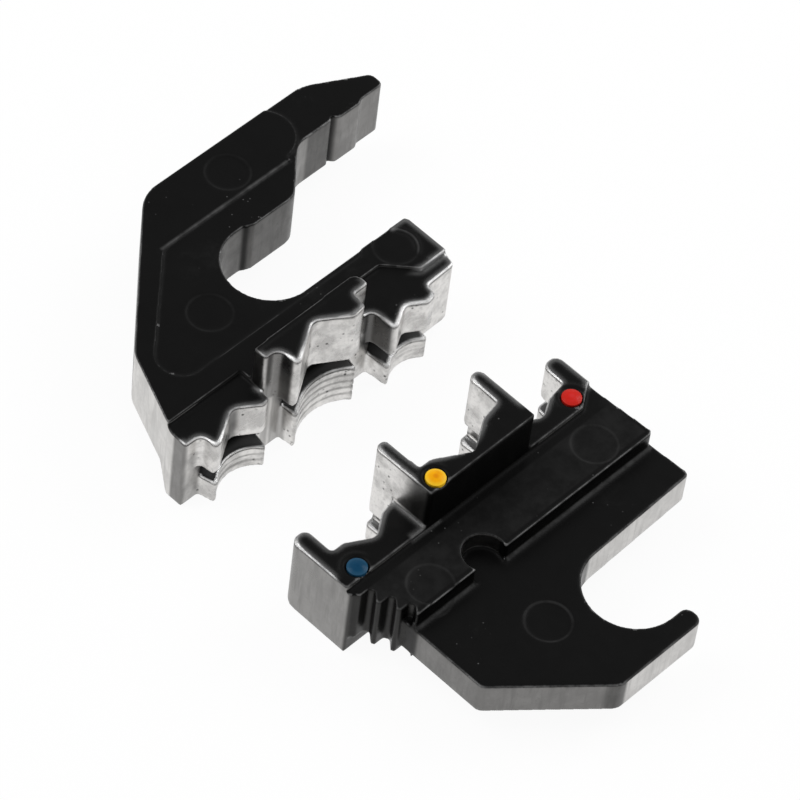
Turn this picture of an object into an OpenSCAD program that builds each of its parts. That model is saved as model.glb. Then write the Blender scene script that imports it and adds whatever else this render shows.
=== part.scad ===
// Die set for crimping insulated terminals.
// Two loose hardened halves face each other across three nests: blue, yellow and red.
// Each half is one piece, and the lower half carries three domed enamel dots as nest marks.
// x runs along the nests, y is the direction of the crimp stroke, and z is the thickness.
// Both halves lie on the backs of their crimp blocks, with their marked faces up.

/* [Stroke] */
// Distance between the datum lines of the two halves when the dies are closed
closed_spread = 9.05; // [9.05:0.05:10]
// Travel of the upper half between open and closed
stroke = 14.75; // [6:0.05:20]

/* [Crimp blocks] */
// Thickness of the blocks from their backs to the blue and red faces
block_depth = 10; // [9.5:0.1:11]
// Height of the yellow nest's face above the other two faces
yellow_rise = 5.4; // [3:0.1:7]
// Thickness of the rear rows of the blue and red nests
rear_row = 3.1; // [2.8:0.1:3.6]
// Width of the slots between the front and rear rows of the blue and red nests
row_slot = 2.1; // [1.5:0.1:2.6]
// Thickness of the rear row of the yellow nest
yellow_rear_row = 5.3; // [4.6:0.1:5.6]
// Width of the slot between the rows of the yellow nest
yellow_row_slot = 2.9; // [2:0.1:3.4]
// Radius of the rear row of the blue nest
blue_radius = 4.3; // [4.2:0.05:4.4]
// Radius of the rear row of the yellow nest
yellow_radius = 6.1; // [6:0.05:6.2]
// Radius of the rear row of the red nest
red_radius = 3.9; // [3.8:0.05:4]
// Depth of the grooves that grip the barrel in the upper rear rows
grip_groove = 0.15; // [0.05:0.05:0.2]
// Height of the lower half's teeth above its datum line
tooth_tip = 8.45; // [8:0.05:8.5]
// Height of the short tooth at the red end
short_tooth_tip = 7.15; // [6.8:0.05:7.2]
// Rounding of the teeth at the backs of the blocks
tooth_back_round = 1.3; // [0.8:0.1:1.8]

/* [Upper half] */
// Height of the upper half above its datum line
upper_height = 25.75; // [25:0.05:27]
// Reach of the arm over the pin slot
arm_reach = 48.75; // [46:0.05:50]
// Length of the foot under the pin slot
foot_length = 37.4; // [36.5:0.1:39]
// Height of the plate's front above the blue and red faces
plate_rise = 0.5; // [0.3:0.05:0.8]
// Depth of the recessed panel round the pin slot
panel_depth = 0.25; // [0.1:0.05:0.3]
// Diameter of the upper pin seat
upper_seat_d = 10.1; // [9.8:0.1:10.4]
// Distance of the upper pin seat from the datum line
upper_seat_y = 10.9; // [10.8:0.1:11]

/* [Lower half] */
// Depth of the lower plate below its datum line
lower_height = 23.95; // [23.8:0.05:25]
// Thickness of the lower plate
lower_plate_t = 4.1; // [3.5:0.1:5]
// Depth of the band below its datum line
band_height = 5.9; // [5.5:0.1:6.5]
// Drop from the blue and red faces to the band
band_drop = 0.6; // [0.3:0.1:1]
// Diameter of the lower pin seat
lower_seat_d = 10.3; // [10.1:0.1:10.5]
// Distance of the lower pin seat from the datum line
lower_seat_y = 16.5; // [16.4:0.05:16.6]

/* [Marks] */
// Diameter of the enamel dots
dot_d = 2.1; // [1.8:0.1:2.5]
// Height of the dots above the faces
dot_dome = 0.25; // [0.2:0.05:0.6]
// Diameter of the ejector pin marks
ejector_d = 4.8; // [4:0.1:5.5]
// Depth of the ejector pin marks
ejector_depth = 0.12; // [0.05:0.01:0.2]

/* [Hidden] */

$fn = 96;
arc_step = 7.5;
over = 1;
through = 20;
steel = "#2c2e31";

open_spread = closed_spread + stroke;
yellow_face = block_depth + yellow_rise;
front_low = rear_row + row_slot;
yellow_front_low = yellow_rear_row + yellow_row_slot;

// The set is centred on its own box
upper_place = [-arm_reach / 2, (open_spread + lower_height - upper_height) / 2, 0];
lower_place = upper_place - [0, open_spread, 0];

// Heights of the plates above the ground
plate_back = 3;
foot_back = 1.4;
band_back = 2.3;
plate_front = block_depth + plate_rise;
band_front = block_depth - band_drop;
lower_plate_front = plate_back + lower_plate_t;

// Rounded outlines: a corner is [x, y, radius]
function xy(p) = [p.x, p.y];
function unit(v) = v / norm(v);
function corner(before, at, after) =
    let (
        to_before = unit(xy(before) - xy(at)),
        to_after = unit(xy(after) - xy(at)),
        half = acos(to_before * to_after) / 2,
        centre = xy(at) + unit(to_before + to_after) * at.z / sin(half),
        from = xy(at) + to_before * at.z / tan(half) - centre,
        to = xy(at) + to_after * at.z / tan(half) - centre,
        start = atan2(from.y, from.x),
        turn = (atan2(to.y, to.x) - start + 540) % 360 - 180,
        steps = max(1, ceil(abs(turn) / arc_step))
    )
    [for (i = [0 : steps]) centre + at.z * [cos(start + turn * i / steps), sin(start + turn * i / steps)]];
function rounded(corners) =
    let (n = len(corners))
    [for (i = [0 : n - 1])
        each corners[i].z == 0
            ? [xy(corners[i])]
            : corner(corners[(i + n - 1) % n], corners[i], corners[(i + 1) % n])];

module slab(corners, low, high) {
    translate([0, 0, low])
        linear_extrude(high - low)
            polygon(rounded(corners));
}

module drum(x, y, radius, low, high) {
    translate([x, y, low])
        cylinder(r = radius, h = high - low);
}

// A bar along x from its cross-section in y and z
module bar(left, right, section) {
    translate([left, 0, 0])
        rotate([90, 0, 90])
            linear_extrude(right - left)
                polygon(section);
}

// A slot between the front and rear rows, open on the crimp side: slot holds its two ends along x
module row_gap(slot, from, to, low, width) {
    translate([slot[0], from, low])
        cube([slot[1] - slot[0], to - from, width]);
}

module ejector_mark(x, y, face) {
    drum(x, y, ejector_d / 2, face - ejector_depth, face + over);
}

// Upper half

upper_left = 0.35;
upper_seat_x = 22.95;
upper_seat_top = upper_seat_y + upper_seat_d / 2;
upper_seat_low = upper_seat_y - upper_seat_d / 2;
arm_inside = upper_height - 5.5;
slot_roof = 15.45;

upper_outline = [
    [upper_left, 0, 0],
    [upper_left, 1.8, 2],
    [4.2, 11.1, 3],
    [19.3, upper_height, 4.5],
    [42, upper_height, 5],
    [arm_reach, 22.1, 0.8],
    [arm_reach, arm_inside + 0.05, 0.5],
    [45.5, arm_inside + 0.05, 0],
    [45, arm_inside - 0.3, 0.2],
    [42.1, arm_inside - 0.3, 0.2],
    [41.7, arm_inside, 0],
    [41.6, arm_inside + 0.35, 0],
    [41.2, arm_inside + 0.35, 0],
    [41.1, arm_inside, 0],
    [36.1, arm_inside, 2.6],
    [31, slot_roof, 2],
    [24.4, slot_roof, 0.15],
    [24.3, upper_seat_top, 0],
    [upper_seat_x, upper_seat_top, 0],
    [upper_seat_x, upper_seat_low, 0],
    [foot_length, upper_seat_low, 0.5],
    [foot_length, 0, 0]
];
panel_outline = [
    [36, 19.1, 0],
    [15.9, 19.1, 1.2],
    [0.8, 5.3, 2.7],
    [30.3, 5.2, 0.8],
    [31, upper_seat_low + 0.1, 0],
    [36, slot_roof, 0]
];
upper_red_face = [
    [25.1, -over, 0],
    [25.1, 3.1, 0],
    [30.8, 3.1, 0.8],
    [32.2, 1.6, 0],
    [34.2, -0.5, 0],
    [34.2, -over, 0]
];

// Crimp profiles of the front rows, closed by a back edge inside the body
upper_blue_profile = [
    [upper_left, 1.5, 0],
    [upper_left, -0.35, 0.3],
    [2.4, -0.35, 0.8],
    [2.6, -2.3, 0.3],
    [3.4, -2.25, 0.5],
    [6.65, -0.22, 0.4],
    [7.35, -0.22, 0.4],
    [9.8, -1.8, 0.5],
    [10.7, -1.5, 0],
    [10.7, 1.5, 0]
];
upper_yellow_profile = [
    [10.7, 1.15, 0.2],
    [10.7, -0.5, 0.3],
    [12.4, -0.5, 0.9],
    [12.65, -3, 0.3],
    [13.3, -2.95, 0.5],
    [17.2, -0.45, 0.4],
    [17.9, -0.45, 0.4],
    [21.2, -2.5, 0.5],
    [22.9, -2.3, 0.3],
    [23.1, -0.45, 0.2],
    [25.1, -0.45, 0.2],
    [25.1, 1.4, 1]
];
upper_red_profile = [
    [25.1, 1.5, 0],
    [25.1, -0.4, 0],
    [26.3, -0.4, 0.7],
    [26.45, -3.4, 0.3],
    [27.1, -3.45, 0.3],
    [29.2, -2.25, 0.4],
    [29.7, -2.25, 0.4],
    [31.5, -3.4, 0.5],
    [32.8, -3.1, 0.3],
    [33, -1.75, 0.2],
    [37, -1.6, 0.4],
    [foot_length, 0, 0],
    [foot_length, 1.5, 0]
];

// Lands that run through the whole depth, up to where the slots between the rows start
blue_slot = [2.9, 10.7];
yellow_slot = [13.9, 23.1];
red_slot = [26.5, 33];
upper_left_land = [
    [upper_left, 1.5, 0],
    [upper_left, -0.35, 0.3],
    [blue_slot[0], -0.35, 0],
    [blue_slot[0], 1.5, 0]
];
upper_blue_land = [
    [10.7, 1.15, 0],
    [10.7, -0.5, 0.3],
    [yellow_slot[0], -0.5, 0],
    [yellow_slot[0], 1.15, 0]
];
upper_red_land = [
    [23.1, 1.15, 0],
    [23.1, -0.45, 0],
    [red_slot[0], -0.4, 0],
    [red_slot[0], 1.15, 0]
];
upper_right_land = [
    [33, 1.5, 0],
    [33, -1.75, 0.2],
    [37, -1.6, 0.4],
    [foot_length, 0, 0],
    [foot_length, 1.5, 0]
];

// Rear rows: their outlines, and the [x, y] of the deepest point of each round channel
upper_blue_rear = [
    [2.7, 1.5, 0],
    [2.7, -0.35, 0.3],
    [3.2, -2.15, 0.15],
    [10.3, -2.15, 0.15],
    [10.7, -0.4, 0],
    [10.7, 1.5, 0]
];
upper_yellow_rear = [
    [13.8, 1.15, 0],
    [13.8, -0.5, 0.3],
    [14, -2.4, 0.15],
    [22.8, -2.4, 0],
    [23.3, -0.4, 0],
    [23.3, 1.15, 0]
];
upper_red_rear = [
    [26.4, 1.5, 0],
    [26.4, -0.4, 0.3],
    [26.65, -3.05, 0.15],
    [32.5, -3.05, 0.15],
    [32.7, -1.7, 0],
    [32.7, 1.5, 0]
];
blue_channel = [6.8, -0.62];
yellow_channel = [18.7, -0.55];
red_channel = [29.6, -2.1];
groove_width = 0.3;

// A rear row has a round channel along it, with shallow grooves across the channel at some heights
module upper_rear_row(outline, channel, radius, high, grooves) {
    difference() {
        slab(outline, 0, high);
        drum(channel.x, channel.y - radius, radius, -over, high + over);
        for (height = grooves)
            drum(channel.x, channel.y - radius, radius + grip_groove, height, height + groove_width);
    }
}

// The back of the plate slopes up from the rear rows
module upper_rear_bar() {
    run = 4;
    ramp = [[0, 0], [run / 2, 0], [run, plate_back + 0.5], [0, plate_back + 0.5]];
    intersection() {
        bar(upper_left, 32.65, ramp);
        slab(upper_outline, 0, plate_front);
    }
}

module upper_body() {
    difference() {
        slab(upper_outline, plate_back, plate_front);
        slab(panel_outline, plate_front - panel_depth, plate_front + over);
        translate([-over, -over, block_depth])
            cube([10.7 + over, 2.6 + over, 2 * over]);
        slab(upper_red_face, block_depth, plate_front + over);
        difference() {
            translate([33.9, arm_inside - 2, plate_front - panel_depth])
                cube([20, 20, 2]);
            drum(33.9, 23.3, 3.6, 0, through);
        }
    }
    upper_rear_bar();
    translate([32, 0, foot_back])
        cube([foot_length - 32, upper_seat_low, plate_back + 0.5 - foot_back]);
}

module upper_rows() {
    slab(upper_blue_profile, front_low, block_depth);
    slab(upper_yellow_profile, yellow_front_low, yellow_face);
    slab(upper_red_profile, front_low, block_depth);
    slab(upper_left_land, 0, block_depth);
    slab(upper_blue_land, 0, yellow_face);
    slab(upper_red_land, 0, block_depth);
    slab(upper_right_land, foot_back, block_depth);
    upper_rear_row(upper_blue_rear, blue_channel, blue_radius, rear_row, [1.1, 2]);
    upper_rear_row(upper_yellow_rear, yellow_channel, yellow_radius, yellow_rear_row, [1.2, 2.2, 3.2, 4.2]);
    upper_rear_row(upper_red_rear, red_channel, red_radius, rear_row, [0.9, 1.5, 2.1]);
}

module upper_die() {
    gap_low = -5;
    gap_deep = 1;
    color(steel)
        translate(upper_place)
            difference() {
                union() {
                    upper_body();
                    upper_rows();
                }
                drum(upper_seat_x, upper_seat_y, upper_seat_d / 2, -over, through);
                row_gap(blue_slot, gap_low, gap_deep, rear_row, row_slot);
                row_gap(yellow_slot, gap_low, gap_deep, yellow_rear_row, yellow_row_slot);
                row_gap(red_slot, gap_low, gap_deep, rear_row, row_slot);
                ejector_mark(27.8, 22.1, plate_front);
                ejector_mark(13.7, 10.1, plate_front - panel_depth);
                ejector_mark(33.8, 3.7, plate_front);
            }
}

// Lower half

lower_length = 36.4;
face_edge = 0.65;
slot_floor = 0.8;
lower_seat_x = 23;
lower_seat_top = -lower_seat_y + lower_seat_d / 2;
finger_inside = -lower_seat_y - lower_seat_d / 2;
finger_reach = 25.1;
lower_reach = 37.3;
notch = [13.5, 0.95 - band_height];
notch_radius = 2.25;

lower_outline = [
    [3.05, -4, 0],
    [3.05, -15, 1],
    [13.4, -lower_height, 1.5],
    [finger_reach, -lower_height, 0.95],
    [finger_reach, finger_inside, 0.95],
    [lower_seat_x, finger_inside, 0],
    [lower_seat_x, lower_seat_top, 0],
    [lower_reach, lower_seat_top + 0.45, 0.6],
    [36.9, -4, 0]
];

// The left end of the band is a short rack
rack_start = [0.5, -0.2];
rack_end = [3.1, -band_height];
rack_teeth = 3;
rack_depth = 1.15;
rack_step = (rack_end - rack_start) / rack_teeth;
rack_inward = rack_depth * unit([-rack_step.y, rack_step.x]);
rack_points = [
    for (i = [0 : rack_teeth - 1])
        each [
            rack_start + i * rack_step,
            rack_start + (i + 0.2) * rack_step,
            rack_start + (i + 0.45) * rack_step + rack_inward,
            rack_start + (i + 0.75) * rack_step + rack_inward
        ]
];

lower_blue_profile = [
    [0, 0, 0],
    [0, tooth_tip, 0.95],
    [2.1, tooth_tip, 0.95],
    [2.1, 4.8, 0.3],
    [3.6, 4.8, 0.6],
    [6.3, 3.3, 0.5],
    [6.8, 3.3, 0.5],
    [9, 4.8, 1],
    [11, 5.25, 0],
    [11, 0, 0]
];
lower_yellow_profile = [
    [11, face_edge, 0],
    [11, tooth_tip, 0.7],
    [12.4, tooth_tip, 0.65],
    [12.5, 3.7, 0.3],
    [14.1, 3.7, 0.6],
    [17.7, 1.7, 0.5],
    [18.2, 1.7, 0.5],
    [21.5, 3.8, 1],
    [24, 4.3, 0.2],
    [24.1, tooth_tip, 0.75],
    [25.65, tooth_tip, 0.75],
    [25.65, face_edge, 0]
];
lower_red_profile = [
    [25.65, 0, 0],
    [25.65, 3.9, 0],
    [27.3, 3.9, 0.6],
    [29.2, 2.65, 0.5],
    [29.8, 2.65, 0.5],
    [31.7, 3.75, 1],
    [34.1, 4.1, 0.2],
    [34.2, short_tooth_tip, 1],
    [36.3, short_tooth_tip, 1],
    [lower_length, 0, 0]
];
lower_red_edge = [
    [33.4, face_edge - over, 0],
    [33.4, face_edge, 0.8],
    [36, 2.4, 0.5],
    [lower_length + over, 2.5, 0],
    [lower_length + over, face_edge - over, 0]
];

module lower_rear_row(left, right, crest, channel, radius, high) {
    difference() {
        translate([left, 0, 0])
            cube([right - left, crest, high]);
        drum(channel.x, channel.y + radius, radius, -over, high + over);
    }
}

// A tooth stands between two nests and runs from front to back
module tooth(left, right, tip, radius, high) {
    slab([[left, 0, 0], [left, tip, radius], [right, tip, radius], [right, 0, 0]], 0, high);
}

// Cuts the sharp edge off a tip: way is 1 where the tooth is above the edge and -1 where it is below
module tip_edge(left, right, tip, edge, radius, way) {
    arc = [
        for (a = [0 : 15 : 90])
            [tip - radius * (1 - cos(a)), edge + way * radius * (1 - sin(a))]
    ];
    outside = [
        [tip - radius, edge - way * over],
        [tip + over, edge - way * over],
        [tip + over, edge + way * radius]
    ];
    bar(left, right, concat(arc, outside));
}

module lower_plate() {
    slab(lower_outline, plate_back, lower_plate_front);
}

module lower_band() {
    band = concat(
        rack_points,
        [
            rack_end,
            [36.5, -band_height],
            [36.85, 0.35 - band_height],
            [lower_length, face_edge],
            [0.5, face_edge]
        ]
    );
    translate([0, 0, band_back])
        linear_extrude(band_front - band_back)
            polygon(band);
}

// A small fillet where the band stands on the plate
module band_fillet() {
    fillet = [
        [0.5, -0.5, 0],
        [0.5, 0.7, 0],
        [0, 0.7, 0],
        [0, 0, 0.6],
        [-0.7, 0, 0],
        [-0.7, -0.5, 0]
    ];
    translate([0, -band_height, lower_plate_front])
        bar(rack_end.x, lower_length, rounded(fillet));
}

module lower_rows() {
    difference() {
        slab(lower_blue_profile, front_low, block_depth);
        translate([-over, -over, band_front])
            cube([11 + 2 * over, face_edge + over, 2]);
    }
    slab(lower_yellow_profile, yellow_front_low, yellow_face);
    difference() {
        slab(lower_red_profile, front_low, block_depth);
        translate([25, -over, band_front])
            cube([12, face_edge + over, 2]);
        slab(lower_red_edge, band_front, block_depth + over);
    }
    cube([lower_length, slot_floor, band_front]);
    tooth(0, 2.1, tooth_tip, 0.95, front_low + 1);
    tooth(11, 12.45, tooth_tip, 0.68, yellow_front_low + 1);
    tooth(24.05, 25.65, tooth_tip, 0.75, yellow_front_low + 1);
    tooth(34.2, 36.35, short_tooth_tip, 1, front_low + 1);
    lower_rear_row(1, 11.5, 5, [6.6, 3.3], blue_radius, rear_row);
    lower_rear_row(12, 24.5, 4.2, [18, 1.7], yellow_radius, yellow_rear_row);
    lower_rear_row(25, 35, 4.1, [29.6, 2.65], red_radius, rear_row);
}

// The slots between the lower rows reach into the tooth on their right
lower_blue_slot = [1.1, 12];
lower_yellow_slot = [12.4, 25.2];
lower_red_slot = [25.6, 35.8];

module lower_gaps() {
    gap_high = slot_floor + 10;
    row_gap(lower_blue_slot, slot_floor, gap_high, rear_row, row_slot);
    row_gap(lower_yellow_slot, slot_floor, gap_high, yellow_rear_row, yellow_row_slot);
    row_gap(lower_red_slot, slot_floor, gap_high, rear_row, row_slot);
}

module lower_tip_edges() {
    under = 0.7;
    top = 0.5;
    tip_edge(-over, 26, tooth_tip, 0, tooth_back_round, 1);
    tip_edge(33, 37, short_tooth_tip, 0, tooth_back_round, 1);
    tip_edge(10, lower_blue_slot[1], tooth_tip, front_low, under, 1);
    tip_edge(10, lower_blue_slot[1], tooth_tip, rear_row, top, -1);
    tip_edge(23, lower_yellow_slot[1], tooth_tip, yellow_front_low, under, 1);
    tip_edge(23, lower_yellow_slot[1], tooth_tip, yellow_rear_row, top, -1);
    tip_edge(33, lower_red_slot[1], short_tooth_tip, front_low, under, 1);
    tip_edge(33, lower_red_slot[1], short_tooth_tip, rear_row, top, -1);
}

// Dot centres and faces
blue_dot = [2.6, 1.8, block_depth];
yellow_dot = [12.8, 1.8, yellow_face];
red_dot = [33.5, 2.3, block_depth];
dimple_depth = 0.4;
dimple_gap = 0.12;

// A dot sits in a dimple with a small chamfer round it
module dimple(at) {
    dimple_d = dot_d + 2 * dimple_gap;
    chamfer = 0.3;
    translate(at) {
        translate([0, 0, -dimple_depth])
            cylinder(d = dimple_d, h = dimple_depth + over);
        translate([0, 0, -chamfer / 2])
            cylinder(d1 = dimple_d, d2 = dimple_d + 2 * chamfer, h = chamfer);
    }
}

module lower_die() {
    color(steel)
        translate(lower_place)
            difference() {
                union() {
                    lower_plate();
                    lower_band();
                    band_fillet();
                    lower_rows();
                }
                drum(lower_seat_x, -lower_seat_y, lower_seat_d / 2, -over, through);
                drum(notch.x, notch.y, notch_radius, lower_plate_front, through);
                lower_gaps();
                lower_tip_edges();
                ejector_mark(13.55, -13.9, lower_plate_front);
                ejector_mark(6.8, -4.15, band_front);
                ejector_mark(31.3, -3, band_front);
                dimple(blue_dot);
                dimple(yellow_dot);
                dimple(red_dot);
            }
}

// Enamel dots: a short stem in the dimple under a domed cap

module dot(at) {
    cap_radius = (dot_d * dot_d / 4 + dot_dome * dot_dome) / (2 * dot_dome);
    translate(lower_place + at)
        intersection() {
            translate([0, 0, -dimple_depth])
                cylinder(d = dot_d, h = dimple_depth + dot_dome);
            translate([0, 0, dot_dome - cap_radius])
                sphere(cap_radius);
        }
}

module blue_mark() {
    color("#2f7fae")
        dot(blue_dot);
}

module yellow_mark() {
    color("#d8c23a")
        dot(yellow_dot);
}

module red_mark() {
    color("#b3322c")
        dot(red_dot);
}

upper_die();
lower_die();
blue_mark();
yellow_mark();
red_mark();
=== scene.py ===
import math
from types import SimpleNamespace

import bpy
from mathutils import Matrix, Vector


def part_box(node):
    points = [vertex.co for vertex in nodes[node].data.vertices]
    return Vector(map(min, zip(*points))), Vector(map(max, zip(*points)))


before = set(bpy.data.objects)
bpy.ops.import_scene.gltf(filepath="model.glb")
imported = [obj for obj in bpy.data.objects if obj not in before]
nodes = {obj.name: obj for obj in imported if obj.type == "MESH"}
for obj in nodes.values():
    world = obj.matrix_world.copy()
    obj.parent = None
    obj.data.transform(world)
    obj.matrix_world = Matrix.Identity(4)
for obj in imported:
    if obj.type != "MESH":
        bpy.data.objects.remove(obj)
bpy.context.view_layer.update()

scene = bpy.context.scene

MM = 0.001
PHOTO_SIDE = 800

# Camera: a long lens over the blue end, rolled a little, as in the photograph
AZIMUTH = -51.6
ELEVATION = 51.6
ROLL = 8.0
DISTANCE = 0.5
PIXELS_PER_MM = 9.99
AIM_RIGHT = -3.15 * MM
AIM_UP = -0.5 * MM
AIM_HEIGHT = 8 * MM
SENSOR = 36.0
CLIP_NEAR = 0.01
CLIP_FAR = 10.0

# Floor: how far it reaches from its middle, its look, and how white it looks in the picture
FLOOR_REACH = 1.2
FLOOR_GREY = 0.86
FLOOR_ROUGHNESS = 0.8
FLOOR_SPECULAR = 0.1
FLOOR_WHITE = 0.94

# Light: the sky's strength, and each lamp's name, place, side in metres and watts
SKY_STRENGTH = 0.55
LAMP_AIM = (0, 0, 0.01)
LAMPS = [
    ("key", (-0.25, 0.30, 0.45), 0.35, 1.6),
    ("right", (0.40, -0.10, 0.35), 0.30, 1.2),
]

# Where the datum line of each half lies along y, and half of the set's width
UPPER_DATUM = 11.0 * MM
LOWER_DATUM = -12.8 * MM
HALF_WIDTH = 24.375 * MM

# Softened edges: the mesh that rounds them, and the wider rounding that only shading sees
VOXEL = 0.14 * MM
SMOOTH_FACTOR = 0.5
SMOOTH_PASSES = 8
EDGE_ROUND = 0.35 * MM
TIP_ROUND = 0.45 * MM
HALO_REACH = 1.1 * MM
BEVEL_SAMPLES = 6

# Noises: scale per metre, detail and roughness
WAVER_NOISE = (220, 3.0, 0.6)
RIM_NOISE = (300, 3.0, 0.6)
PATCHY_NOISE = (500, 3.0, 0.65)
STREAK_NOISE = (1500, 3.0, 0.6)
CLOUD_NOISE = (340, 4.0, 0.65)
GRAIN_NOISE = (2400, 3.0, 0.7)
PIT_GROUP_NOISE = (400, 2.0, 0.5)
OXIDE_NOISE = (90, 4.0, 0.6)
SMEAR_NOISE = (70, 6.0, 0.75)
SPECK_GROUP_NOISE = (140, 2.0, 0.5)
ROUGHNESS_NOISE = (700, 3.0, 0.6)
FINE_BUMP_NOISE = (2600, 3.0, 0.6)
COARSE_BUMP_NOISE = (420, 2.0, 0.5)
ENAMEL_TONE_NOISE = (900, 2.0, 0.5)
ENAMEL_BUMP_NOISE = (1100, 2.0, 0.5)

# Scattered spots per metre, and where each one fades out, as shares of the space between them
PIT_SCATTER = 1250
PIT_SIZE = (0.08, 0.24)
SPECK_SCATTER = 1100
SPECK_SIZE = (0.03, 0.12)

# How much longer a streak is than it is wide: the scale along z of its noise
STREAK_STRETCH = (1.0, 1.0, 0.12)

# Steps of the way a face is turned: 0 looks up or down, and 1 looks sideways
WALL_STEP = (0.5, 0.9)
BARE_STEP = (0.15, 0.5)

# How far the line where bare steel starts wavers
WAVER_WIDTH = 0.6 * MM

# Steps of Pointiness, which is about 0.5 on a flat face
CONVEX_STEP = (0.485, 0.498)
RUBBED_STEP = (0.516, 0.55)

# Steps of the upward part of the rounded normal, across an edge from wall to face, which place the
# painted shade under a rim and the rim's painted highlight
UNDER_RISE = (0.03, 0.12)
UNDER_FALL = (0.36, 0.52)
RIM_RISE = (0.45, 0.60)
RIM_FALL = (0.85, 0.95)

# What is left of the painted dark line of shade under a rim on the gripping rows
GRIP_UNDER = 0.55

# Steps of the angle in radians between the widely rounded normal and the face
HALO_TURN = (0.03, 0.5)

# Steps of the noises, and the values that they lead to where these aren't 0 and 1
RIM_NOISE_STEP = (0.3, 0.65)
RIM_FAINTEST = 0.15
PATCHY_NOISE_STEP = (0.3, 0.7, 0.25, 1.0)
CLOUD_STEP = (0.36, 0.62)
STREAK_STEP = (0.4, 0.65, 0.0, 0.15)
GRAIN_STEP = (0.5, 0.72, 0.0, 0.45)
PIT_GROUP_STEP = (0.48, 0.56)
SOFT_CLOUD_STEP = (0.35, 0.65)
WORN_STREAK_STEP = (0.45, 0.7)
WORN_GRAIN_STEP = (0.55, 0.75)
SMEAR_STEP = (0.56, 0.74, 0.0, 0.6)
SPECK_GROUP_STEP = (0.54, 0.62)
OXIDE_ROUGHNESS = (0.3, 0.7, 0.32, 0.42)
STEEL_ROUGHNESS = (0.3, 0.7, 0.25, 0.38)

# Steps of length in mm: clear space round a dot, the line of an ejector mark, the slots' upper end
MARK_CLEAR = (1.5, 2.0)
RING_LINE = (0.02, 0.22)
SLOT_TOP = (5.5, 6.0)
EJECTOR_RADIUS = 2.4 * MM

# How softly the boxes end, in mm
GRIP_SOFT = 0.2
ZONE_SOFT = 0.3
LINE_SOFT = 0.15

# Red, green and blue of a light grey of steel
STEEL_TINT = (1.0, 0.982, 0.958)

# Tones of bare steel
BARE_LOW = 0.47
BARE_HIGH = 0.79
STREAK_TONE = 0.38
GRAIN_TONE = 0.40
PIT_TONE = 0.06
# The painted highlight of the rims
RIM_HIGHLIGHT_TONE = 0.92

# Tones of a wall, which looks lighter than the faces as a painted sheen over burnishing: the darker
# and the lighter cloud, and the worn spots
WALL_TONES = (0.094, 0.114, 0.082)
PATCH_SPREAD = (0.88, 1.05, 0.80)

# Tones of the oxide, of what shows through it, of the halos of wear and painted sheen, of the painted
# light low in the slots and of the painted shade under the rims, and how far some of them cover it
OXIDE_LOW = 0.0025
OXIDE_HIGH = 0.0045
SMEAR_TONE = 0.012
SPECK_TONE = 0.12
SPECK_SHARE = 0.7
RUBBED_TONE = 0.17
RUBBED_SHARE = 0.9
HALO_WEAR_AND_SHEEN_TONE = 0.14
SLOT_PAINTED_LIGHT_TONE = 0.08
UNDER_SHADE_TONE = 0.035
UNDER_SHADE_SHARE = 0.85
OXIDE_SPECULAR = 0.042

# Fine relief of the steel: its strength, its depth, and the part of each texture in it
STEEL_BUMP = 0.35
STEEL_BUMP_DEPTH = 0.02 * MM
FINE_HEIGHT = 0.35
COARSE_HEIGHT = 0.8
PIT_HEIGHT = 0.8

# Enamel: steps of the distance in mm from a dot's middle, its uneven tone, its gloss and its relief
ENAMEL_SPOT_STEP = (0.1, 0.5)
ENAMEL_SPOT_SHARE = 0.8
ENAMEL_RIM_STEP = (0.55, 1.0)
ENAMEL_TONE_STEP = (0.35, 0.65, 0.0, 0.5)
ENAMEL_ROUGHNESS = 0.25
ENAMEL_SPECULAR = 0.07
ENAMEL_BUMP = 0.2
ENAMEL_BUMP_DEPTH = 0.03 * MM

# Each dot's main colour, the one at its middle and the one round its rim
ENAMELS = {
    "blue": [(0.004, 0.043, 0.092, 1), (0.001, 0.034, 0.080, 1), (0.012, 0.058, 0.112, 1)],
    "yellow": [(0.80, 0.36, 0.002, 1), (0.62, 0.20, 0.001, 1), (0.80, 0.47, 0.018, 1)],
    # The red dot's lighter, pinker middle is a painted highlight
    "red": [(0.50, 0.013, 0.007, 1), (0.53, 0.024, 0.024, 1), (0.46, 0.016, 0.010, 1)],
}
MARKS = [name + "_mark" for name in ENAMELS]

# Lowest and highest z in mm of a box that takes the whole thickness
ANY_LOW = -5
ANY_HIGH = 20

# Walls set to other tones, box by box. Each box gives a low and a high value in mm along the half
# from its blue end, across it from the datum line, and up, and then comes the tone.
UPPER_PATCHES = [
    ((-2, 4.6, 1.2, 11.5, ANY_LOW, ANY_HIGH), 0.64),
    ((-2, 0.6, -3, 1.2, ANY_LOW, ANY_HIGH), 0.24),
    ((36.8, 39, -3, 7, ANY_LOW, ANY_HIGH), 0.92),
    ((35, 37.6, 15, 21.3, ANY_LOW, ANY_HIGH), 0.24),
    ((41.7, 50, 19, 21.3, ANY_LOW, ANY_HIGH), 0.21),
    ((41.0, 41.7, 19, 21.3, ANY_LOW, ANY_HIGH), 0.012),
    ((10.9, 12.3, -1.2, 0.6, 8, ANY_HIGH), 0.24),
    ((12.3, 12.9, -2.5, -0.9, 8, ANY_HIGH), 0.10),
    ((12.2, 12.4, -1.1, 0.6, 8, ANY_HIGH), 0.05),
    ((11, 14.2, -1.2, 0.6, ANY_LOW, 8), 0.42),
    ((12.1, 12.3, -1.2, 0.6, ANY_LOW, 8), 0.80),
    ((25.4, 26.9, -3.3, 0.6, 5, 11), 0.12),
    # Painted shade: near black on the step face where the seat meets the arm's wall
    ((24.0, 24.7, 15.2, 16.2, ANY_LOW, ANY_HIGH), 0.02),
]
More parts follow.
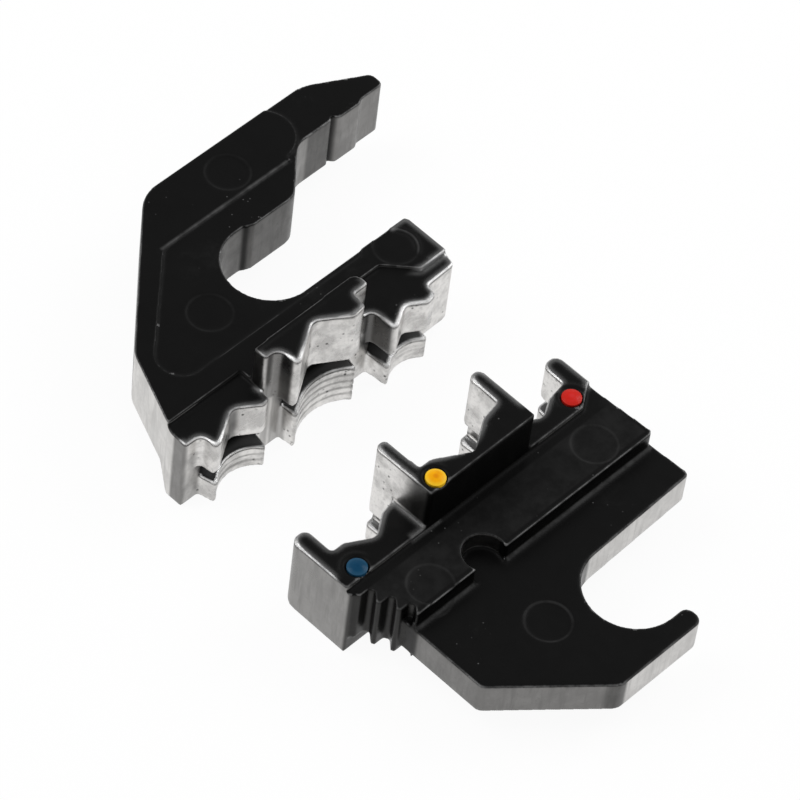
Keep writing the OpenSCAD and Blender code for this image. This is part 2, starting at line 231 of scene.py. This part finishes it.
LOWER_PATCHES = [
    ((22, 38, -12.5, -10.3, ANY_LOW, ANY_HIGH), 0.58),
    ((-1, 0.6, -1, 9.5, ANY_LOW, ANY_HIGH), 0.27),
    ((-1, 4, -6.2, 0.2, ANY_LOW, ANY_HIGH), 0.03),
    ((3, 38, -6.6, -5, ANY_LOW, ANY_HIGH), 0.012),
    ((9, 27, -1, 1.2, 9, ANY_HIGH), 0.016),
    ((-1, 13.5, -23, -6.5, ANY_LOW, 8), 0.195),
    ((14.2, 27, -26, -22.9, ANY_LOW, ANY_HIGH), 0.56),
]

# What lies where on each half, in mm as above. "bare", "halo" and "tip" say over which distance
# towards the crimp side the bare walls, the edges' halos and the teeth's tips start. "rim" is the
# brightest that a rim's painted highlight gets. "more_halo" is a box with a halo of its own, and
# the boxes of "grip" hold gripping rows, whose edges have no rims. "lines" are lighter lines: a box
# and its tone.
# "rings" are the middles of the ejector marks, and "ring_tone" is the tone of their edges.
UPPER_ZONES = {
    "bare": (0.0, 0.5),
    "halo": (-0.9, 0.1),
    "tip": (1.2, 2.2),
    "rim": 0.95,
    "more_halo": (35, 39, -3, 5.8, 9, 12),
    "grip": [
        (3, 11.6, -4, 5, ANY_LOW, 2.5),
        (12.6, 25.5, -4, 5, ANY_LOW, 4.7),
        (26.6, 36, -4, 5, ANY_LOW, 2.5),
    ],
    "lines": [((15.5, 33.5, 19.0, 19.3, 9, 12), 0.06)],
    "rings": [(27.8, 22.1), (13.7, 10.1), (33.8, 3.7)],
    "ring_tone": 0.009,
}
LOWER_ZONES = {
    "bare": (2.4, 4.8),
    "halo": (1.6, 3.0),
    "tip": (6.2, 8.0),
    "rim": 0.6,
    "more_halo": (9, 13, 0.5, 3, 9, 11),
    "grip": [],
    "lines": [
        # These two lines, along the foot of a wall, are a painted highlight
        ((3, 11.2, -6.25, -5.9, 6.6, 7.5), 0.055),
        ((15.8, 36.9, -6.25, -5.9, 6.6, 7.5), 0.055),
        ((1.5, 36.3, -5.3, -0.5, 9.2, 9.6), 0.011),
    ],
    "rings": [(13.55, -13.9), (6.8, -4.15), (31.3, -3)],
    "ring_tone": 0.018,
}


# Helpers


def in_metres(lengths):
    return [length * MM for length in lengths]


def grey(value):
    return (value, value, value, 1.0)


def steel(value):
    """A grey with the slight warmth of bare steel."""
    red, green, blue = (value * share for share in STEEL_TINT)
    return (red, green, blue, 1.0)


class Nodes:
    """A short way to write a node tree."""

    def __init__(self, tree):
        self.tree = tree

    def add(self, kind, values=None, **settings):
        made = self.tree.nodes.new(kind)
        for key, value in settings.items():
            setattr(made, key, value)
        for key, value in (values or {}).items():
            self.plug(value, made.inputs[key])
        return made

    def plug(self, value, socket):
        if isinstance(value, bpy.types.NodeSocket):
            self.tree.links.new(value, socket)
        else:
            socket.default_value = value

    def math(self, operation, first, *more):
        """An operation on one value, or on two or more from left to right."""
        if not more:
            return self.add("ShaderNodeMath", {0: first}, operation=operation).outputs[0]
        for value in more:
            made = self.add("ShaderNodeMath", {0: first, 1: value}, operation=operation)
            first = made.outputs[0]
        return first

    def vector_math(self, operation, a, b):
        made = self.add("ShaderNodeVectorMath", {0: a, 1: b}, operation=operation)
        return made.outputs["Value"]

    def ramp(self, value, low, high, to_low=0.0, to_high=1.0):
        """Smooth step from to_low at low to to_high at high."""
        inputs = {0: value, 1: low, 2: high, 3: to_low, 4: to_high}
        made = self.add("ShaderNodeMapRange", inputs, interpolation_type="SMOOTHSTEP")
        return made.outputs[0]

    def fall(self, value, low, high):
        """Smooth step from 1 at low to 0 at high."""
        return self.ramp(value, low, high, 1.0, 0.0)

    def mix(self, factor, a, b):
        """Colour a where factor is 0 and b where it is 1."""
        made = self.add("ShaderNodeMix", {0: factor, 6: a, 7: b}, data_type="RGBA")
        return made.outputs[2]

    def blend(self, factor, a, b):
        """Number a where factor is 0 and b where it is 1."""
        made = self.add("ShaderNodeMix", {0: factor, 2: a, 3: b}, data_type="FLOAT")
        return made.outputs[0]

    def noise(self, place, scale, detail, roughness):
        values = {"Vector": place, "Scale": scale, "Detail": detail, "Roughness": roughness}
        return self.add("ShaderNodeTexNoise", values).outputs["Fac"]

    def dots(self, place, scale):
        """Distance to the nearest of many scattered points."""
        values = {"Vector": place, "Scale": scale}
        return self.add("ShaderNodeTexVoronoi", values, feature="F1").outputs["Distance"]

    def rounded(self, radius):
        """The normal that the surface would have with its edges rounded."""
        return self.add("ShaderNodeBevel", {"Radius": radius}, samples=BEVEL_SAMPLES).outputs[0]

    def bump(self, height, strength, depth, **more):
        values = {"Height": height, "Strength": strength, "Distance": depth, **more}
        return self.add("ShaderNodeBump", values).outputs[0]

    def seen(self):
        """1 where the camera, gloss or glass looks, and 0 for the light on the object."""
        path = self.add("ShaderNodeLightPath").outputs
        rays = [path[ray] for ray in ("Is Camera Ray", "Is Glossy Ray", "Is Transmission Ray")]
        return self.math("MAXIMUM", *rays)


def new_material(name):
    material = bpy.data.materials.new(name)
    material.use_nodes = True
    n = Nodes(material.node_tree)
    return material, n, n.tree.nodes["Principled BSDF"]


def new_object(name, data):
    made = bpy.data.objects.new(name, data)
    scene.collection.objects.link(made)
    return made


# Steel


def point_on_half(n, datum, toward_crimp):
    """Where a point lies on its half, and how far the surface there looks sideways."""
    coords = n.add("ShaderNodeTexCoord").outputs
    split = n.add("ShaderNodeSeparateXYZ", {0: coords["Object"]}).outputs
    facing = n.add("ShaderNodeSeparateXYZ", {0: coords["Normal"]}).outputs
    along = n.math("ADD", split["X"], HALF_WIDTH)
    across = n.math("SUBTRACT", split["Y"], datum)
    return SimpleNamespace(
        place=coords["Object"],
        along=along,
        across=across,
        up=split["Z"],
        crimp_way=n.math("MULTIPLY", across, toward_crimp),
        side=n.math("SUBTRACT", 1.0, n.math("ABSOLUTE", facing["Z"])),
    )


def inside_box(n, at, box, soft):
    """1 inside a box and 0 outside."""
    limits = []
    for value, low, high in zip((at.along, at.across, at.up), box[0::2], box[1::2]):
        limits.append(n.ramp(value, *in_metres((low - soft, low + soft))))
        limits.append(n.fall(value, *in_metres((high - soft, high + soft))))
    return n.math("MULTIPLY", *limits)


def ring(n, at, centre):
    """1 on the edge of the ejector mark round a middle, and 0 off it."""
    right = n.math("SUBTRACT", at.along, centre[0] * MM)
    up = n.math("SUBTRACT", at.across, centre[1] * MM)
    squares = n.math("ADD", n.math("MULTIPLY", right, right), n.math("MULTIPLY", up, up))
    off = n.math("SUBTRACT", n.math("SQRT", squares), EJECTOR_RADIUS)
    return n.fall(n.math("ABSOLUTE", off), *in_metres(RING_LINE))


def away_from(n, at, marks):
    """0 on and close to the dots, and 1 further off."""
    away = 1.0
    for mark in marks:
        low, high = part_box(mark)
        middle = (Vector(low) + Vector(high)) / 2
        distance = n.vector_math("DISTANCE", at.place, middle)
        away = n.math("MULTIPLY", away, n.ramp(distance, *in_metres(MARK_CLEAR)))
    return away


def bare_mask(n, at, zones):
    """1 on the walls of the crimp side, from a wavering line on."""
    waver = n.math("SUBTRACT", n.noise(at.place, *WAVER_NOISE), 0.5)
    reach = n.math("ADD", at.crimp_way, n.math("MULTIPLY", waver, WAVER_WIDTH))
    return n.math("MULTIPLY", n.ramp(at.side, *BARE_STEP), n.ramp(reach, *in_metres(zones["bare"])))


def edge_masks(n, at, zones, marks):
    """Masks of the edges' painted light and shade and of their wear, and the normal with rounded
    edges.

    The edge of a crimp face gets a painted highlight, a bright rim, over a painted dark line of
    shade, wider at the teeth's tips. The halo, a lighter band of wear and painted sheen, fades from
    the edge into the dark face.
    """
    tip = n.ramp(at.crimp_way, *in_metres(zones["tip"]))
    rounding = n.rounded(n.math("ADD", n.math("MULTIPLY", tip, TIP_ROUND), EDGE_ROUND))
    crimp_side = n.ramp(at.crimp_way, *in_metres(zones["halo"]))
    crimp_side = n.math("MULTIPLY", crimp_side, away_from(n, at, marks))
    surface = n.add("ShaderNodeNewGeometry").outputs
    convex = n.math("MULTIPLY", crimp_side, n.ramp(surface["Pointiness"], *CONVEX_STEP))
    plain = 1.0
    for box in zones["grip"]:
        outside = n.math("SUBTRACT", 1.0, inside_box(n, at, box, GRIP_SOFT))
        plain = n.math("MULTIPLY", plain, outside)

    lift = n.add("ShaderNodeSeparateXYZ", {0: rounding}).outputs["Z"]
    rim_noise = n.noise(at.place, *RIM_NOISE)
    rim_noise = n.ramp(rim_noise, *RIM_NOISE_STEP, RIM_FAINTEST, zones["rim"])
    # Painted highlight: the bright rim, where the rounded normal looks partly up
    rim = n.math("MULTIPLY", n.ramp(lift, *RIM_RISE), n.fall(lift, *RIM_FALL), convex)
    rim = n.math("MULTIPLY", rim, rim_noise, plain)
    # Painted shade: a dark line on the wall just under the rim
    under = n.math("MULTIPLY", n.ramp(lift, *UNDER_RISE), n.fall(lift, *UNDER_FALL), convex)
    under = n.math("MULTIPLY", under, n.ramp(plain, 0.0, 1.0, GRIP_UNDER, 1.0))

    # The halo: a lighter band fading from the edges, partly wear and partly a painted sheen
    turn = n.vector_math("DOT_PRODUCT", n.rounded(HALO_REACH), surface["Normal"])
    halo = n.ramp(n.math("ARCCOSINE", turn), *HALO_TURN)
    halo_zone = n.math("MAXIMUM", crimp_side, inside_box(n, at, zones["more_halo"], ZONE_SOFT))
    patchiness = n.ramp(n.noise(at.place, *PATCHY_NOISE), *PATCHY_NOISE_STEP)
    return SimpleNamespace(
        rounding=rounding,
        crimp_side=crimp_side,
        rim=rim,
        under=under,
        halo=n.math("MULTIPLY", halo, halo_zone),
        patchiness=patchiness,
        rubbed=n.math("MULTIPLY", n.ramp(surface["Pointiness"], *RUBBED_STEP), patchiness),
    )


def steel_texture(n, at):
    """Clouds, upright streaks, grain and pits."""
    values = {"Vector": at.place, "Scale": STREAK_STRETCH}
    stretched = n.add("ShaderNodeMapping", values).outputs[0]
    pit_spots = n.fall(n.dots(at.place, PIT_SCATTER), *PIT_SIZE)
    pit_groups = n.ramp(n.noise(at.place, *PIT_GROUP_NOISE), *PIT_GROUP_STEP)
    return SimpleNamespace(
        cloud=n.noise(at.place, *CLOUD_NOISE),
        streaks=n.noise(stretched, *STREAK_NOISE),
        grain=n.noise(at.place, *GRAIN_NOISE),
        pits=n.math("MULTIPLY", pit_spots, pit_groups),
    )


def bare_colour(n, texture):
    colour = n.mix(n.ramp(texture.cloud, *CLOUD_STEP), steel(BARE_LOW), steel(BARE_HIGH))
    colour = n.mix(n.ramp(texture.streaks, *STREAK_STEP), colour, steel(STREAK_TONE))
    colour = n.mix(n.ramp(texture.grain, *GRAIN_STEP), colour, steel(GRAIN_TONE))
    return n.mix(texture.pits, colour, steel(PIT_TONE))


def wall_colour(n, at, texture, bare, patches):
    """Walls of painted sheen and burnishing, bare steel on the crimp side, and boxes of other tones
    over both.
    """
    soft_cloud = n.ramp(texture.cloud, *SOFT_CLOUD_STEP)
    worn_streaks = n.ramp(texture.streaks, *WORN_STREAK_STEP)
    worn = n.math("MAXIMUM", worn_streaks, n.ramp(texture.grain, *WORN_GRAIN_STEP))

    def clouded_wall(tones):
        low, high, worn_tone = (steel(tone) for tone in tones)
        return n.mix(worn, n.mix(soft_cloud, low, high), worn_tone)

    # Plain walls: a painted sheen over burnishing; bare steel on the crimp side
    colour = n.mix(bare, clouded_wall(WALL_TONES), bare_colour(n, texture))
    # Walls set box by box to other tones; the near black one on the upper half's step face is painted
    # shade
    for box, tone in patches:
        patch = clouded_wall([tone * share for share in PATCH_SPREAD])
        colour = n.mix(inside_box(n, at, box, ZONE_SOFT), colour, patch)
    return colour


def oxide_colour(n, at, edges, zones):
    """Near black, with faint smears and light specks, rubbed ridges, lighter lines, halos of wear and
    painted sheen, and painted light low in the slots.
    """
    colour = n.mix(n.noise(at.place, *OXIDE_NOISE), grey(OXIDE_LOW), grey(OXIDE_HIGH))
    smear = n.ramp(n.noise(at.place, *SMEAR_NOISE), *SMEAR_STEP)
    colour = n.mix(smear, colour, grey(SMEAR_TONE))
    specks = n.fall(n.dots(at.place, SPECK_SCATTER), *SPECK_SIZE)
    speck_groups = n.ramp(n.noise(at.place, *SPECK_GROUP_NOISE), *SPECK_GROUP_STEP)
    colour = n.mix(n.math("MULTIPLY", specks, speck_groups, SPECK_SHARE), colour, grey(SPECK_TONE))
    colour = n.mix(n.math("MULTIPLY", edges.rubbed, RUBBED_SHARE), colour, grey(RUBBED_TONE))
    # Lighter lines in boxes, some of them a painted highlight
    for box, tone in zones["lines"]:
        line = n.math("MULTIPLY", inside_box(n, at, box, LINE_SOFT), edges.patchiness)
        colour = n.mix(line, colour, grey(tone))
    for centre in zones["rings"]:
        faint = n.math("MULTIPLY", ring(n, at, centre), edges.patchiness)
        colour = n.mix(faint, colour, grey(zones["ring_tone"]))
    # Halos of wear and painted sheen
    colour = n.mix(edges.halo, colour, grey(HALO_WEAR_AND_SHEEN_TONE))
    # Painted light: a lighter oxide low down in the slots, where they lie in shade
    in_slot = n.math("MULTIPLY", edges.crimp_side, n.fall(at.up, *in_metres(SLOT_TOP)))
    return n.mix(in_slot, colour, grey(SLOT_PAINTED_LIGHT_TONE))


def steel_material(name, datum, toward_crimp, zones, patches, marks=()):
    """Black oxide on the faces, grey walls of painted sheen and burnishing, and bare steel on the
    crimp side.

    datum is the y of the half's datum line, and toward_crimp is +1 or -1, the way to the crimp side.
    marks are the dots that stay clear of rims.
    """
    material, n, shader = new_material(name)
    at = point_on_half(n, datum, toward_crimp)
    texture = steel_texture(n, at)
    edges = edge_masks(n, at, zones, marks)
    bare = bare_mask(n, at, zones)
    # Faces that look sideways take the wall colour: a painted sheen over burnishing, or bare steel
    bright = n.math("MAXIMUM", n.ramp(at.side, *WALL_STEP), bare)

    walls = wall_colour(n, at, texture, bare, patches)
    colour = n.mix(bright, oxide_colour(n, at, edges, zones), walls)
    # Painted shade: the dark line under the rims
    colour = n.mix(n.math("MULTIPLY", edges.under, UNDER_SHADE_SHARE), colour, grey(UNDER_SHADE_TONE))
    # Painted highlight: the bright rims along the crimp edges
    colour = n.mix(edges.rim, colour, grey(RIM_HIGHLIGHT_TONE))
    n.plug(colour, shader.inputs["Base Color"])

    metal = n.math("MAXIMUM", bright, edges.rim, edges.rubbed, edges.halo)
    n.plug(metal, shader.inputs["Metallic"])
    shader.inputs["Specular IOR Level"].default_value = OXIDE_SPECULAR
    rough_oxide = n.ramp(n.noise(at.place, *ROUGHNESS_NOISE), *OXIDE_ROUGHNESS)
    rough_steel = n.ramp(texture.cloud, *STEEL_ROUGHNESS)
    n.plug(n.blend(bare, rough_oxide, rough_steel), shader.inputs["Roughness"])

    fine = n.math("MULTIPLY", n.noise(at.place, *FINE_BUMP_NOISE), FINE_HEIGHT)
    coarse = n.math("MULTIPLY", n.noise(at.place, *COARSE_BUMP_NOISE), COARSE_HEIGHT)
    pits = n.math("MULTIPLY", texture.pits, PIT_HEIGHT)
    height = n.math("SUBTRACT", n.math("ADD", fine, coarse), pits)
    relief = n.bump(height, STEEL_BUMP, STEEL_BUMP_DEPTH, Normal=edges.rounding)
    n.plug(relief, shader.inputs["Normal"])
    return material


# Enamel and floor


def enamel_material(name, mark, colour, core, rim):
    """Glossy enamel of a slightly uneven colour, with other tones at its middle and round its rim."""
    material, n, shader = new_material(name)
    place = n.add("ShaderNodeTexCoord").outputs["Object"]
    low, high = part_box(mark)
    top_middle = ((low[0] + high[0]) / 2, (low[1] + high[1]) / 2, high[2])
    distance = n.vector_math("DISTANCE", place, top_middle)
    spot = n.ramp(distance, *in_metres(ENAMEL_SPOT_STEP), ENAMEL_SPOT_SHARE, 0.0)
    uneven = n.ramp(n.noise(place, *ENAMEL_TONE_NOISE), *ENAMEL_TONE_STEP)
    tone = n.mix(n.math("MAXIMUM", spot, uneven), colour, core)
    tone = n.mix(n.ramp(distance, *in_metres(ENAMEL_RIM_STEP)), tone, rim)
    n.plug(tone, shader.inputs["Base Color"])
    shader.inputs["Roughness"].default_value = ENAMEL_ROUGHNESS
    shader.inputs["Specular IOR Level"].default_value = ENAMEL_SPECULAR
    relief = n.bump(n.noise(place, *ENAMEL_BUMP_NOISE), ENAMEL_BUMP, ENAMEL_BUMP_DEPTH)
    n.plug(relief, shader.inputs["Normal"])
    return material


def floor_material():
    """A pale floor that looks nearly white, with the object's shadow kept faint."""
    material, n, shader = new_material("floor")
    shader.inputs["Base Color"].default_value = grey(FLOOR_GREY)
    shader.inputs["Roughness"].default_value = FLOOR_ROUGHNESS
    shader.inputs["Specular IOR Level"].default_value = FLOOR_SPECULAR
    white = n.add("ShaderNodeEmission", {"Color": grey(1.0), "Strength": 1.0})
    share = n.math("MULTIPLY", n.seen(), FLOOR_WHITE)
    mixed = n.add("ShaderNodeMixShader", {0: share, 1: shader.outputs[0], 2: white.outputs[0]})
    n.plug(mixed.outputs[0], n.tree.nodes["Material Output"].inputs["Surface"])
    return material


# The pieces


def dress(node, material):
    slots = nodes[node].material_slots
    if not slots:
        nodes[node].data.materials.append(material)
    for slot in slots:
        slot.material = material


def soften_edges(node):
    """Rounds every edge and corner a little, as on a cast piece: a fine even mesh, smoothed."""
    part = nodes[node]
    even = part.modifiers.new("even", "REMESH")
    even.mode = "VOXEL"
    even.voxel_size = VOXEL
    even.use_smooth_shade = True
    round_off = part.modifiers.new("round", "SMOOTH")
    round_off.factor = SMOOTH_FACTOR
    round_off.iterations = SMOOTH_PASSES


upper_steel = steel_material("upper_steel", UPPER_DATUM, -1.0, UPPER_ZONES, UPPER_PATCHES)
lower_steel = steel_material("lower_steel", LOWER_DATUM, 1.0, LOWER_ZONES, LOWER_PATCHES, MARKS)
for half, material in (("upper_die", upper_steel), ("lower_die", lower_steel)):
    dress(half, material)
    soften_edges(half)
for name, colours in ENAMELS.items():
    mark = name + "_mark"
    dress(mark, enamel_material(name + "_enamel", mark, *colours))


# Floor, light and camera


def add_floor():
    low, high = -FLOOR_REACH, FLOOR_REACH
    corners = [(low, low, 0), (high, low, 0), (high, high, 0), (low, high, 0)]
    mesh = bpy.data.meshes.new("floor")
    mesh.from_pydata(corners, [], [(0, 1, 2, 3)])
    mesh.materials.append(floor_material())
    floor = new_object("floor", mesh)


def add_world():
    """A dim sky for light, and plain white where the camera, gloss and glass look."""
    world = bpy.data.worlds.new("studio")
    world.use_nodes = True
    n = Nodes(world.node_tree)
    n.tree.nodes.clear()
    light = n.add("ShaderNodeBackground", {"Color": grey(1.0), "Strength": SKY_STRENGTH})
    white = n.add("ShaderNodeBackground", {"Color": grey(1.0), "Strength": 1.0})
    choose = n.add("ShaderNodeMixShader", {0: n.seen(), 1: light.outputs[0], 2: white.outputs[0]})
    n.add("ShaderNodeOutputWorld", {"Surface": choose.outputs[0]})
    scene.world = world


def add_lamp(name, place, side, watts):
    lamp = bpy.data.lights.new(name, "AREA")
    lamp.energy = watts
    lamp.size = side
    holder = new_object(name, lamp)
    holder.location = place
    holder.rotation_euler = (Vector(LAMP_AIM) - Vector(place)).to_track_quat("-Z", "Y").to_euler()


def camera_axes():
    """The directions of the picture's right and top, and the one from the aim back to the camera."""
    azimuth, elevation, roll = (math.radians(a) for a in (AZIMUTH, ELEVATION, ROLL))
    back = Vector((
        math.cos(elevation) * math.sin(azimuth),
        -math.cos(elevation) * math.cos(azimuth),
        math.sin(elevation),
    ))
    right = Vector((0, 0, 1)).cross(back).normalized()
    up = back.cross(right)
    turned_right = right * math.cos(roll) + up * math.sin(roll)
    turned_up = up * math.cos(roll) - right * math.sin(roll)
    return turned_right, turned_up, back


def add_camera():
    right, up, back = camera_axes()
    aim = right * AIM_RIGHT + up * AIM_UP + Vector((0, 0, AIM_HEIGHT))
    place = aim + back * DISTANCE
    lens = bpy.data.cameras.new("camera")
    lens.sensor_width = SENSOR
    focal_pixels = PIXELS_PER_MM * DISTANCE / MM
    lens.lens = focal_pixels / PHOTO_SIDE * SENSOR
    lens.clip_start = CLIP_NEAR
    lens.clip_end = CLIP_FAR
    camera = new_object("camera", lens)
    turn = Matrix((right, up, back)).transposed().to_4x4()
    camera.matrix_world = Matrix.Translation(place) @ turn
    scene.camera = camera


add_camera()
add_floor()
add_world()
for lamp in LAMPS:
    add_lamp(*lamp)

scene.view_settings.view_transform = "Standard"
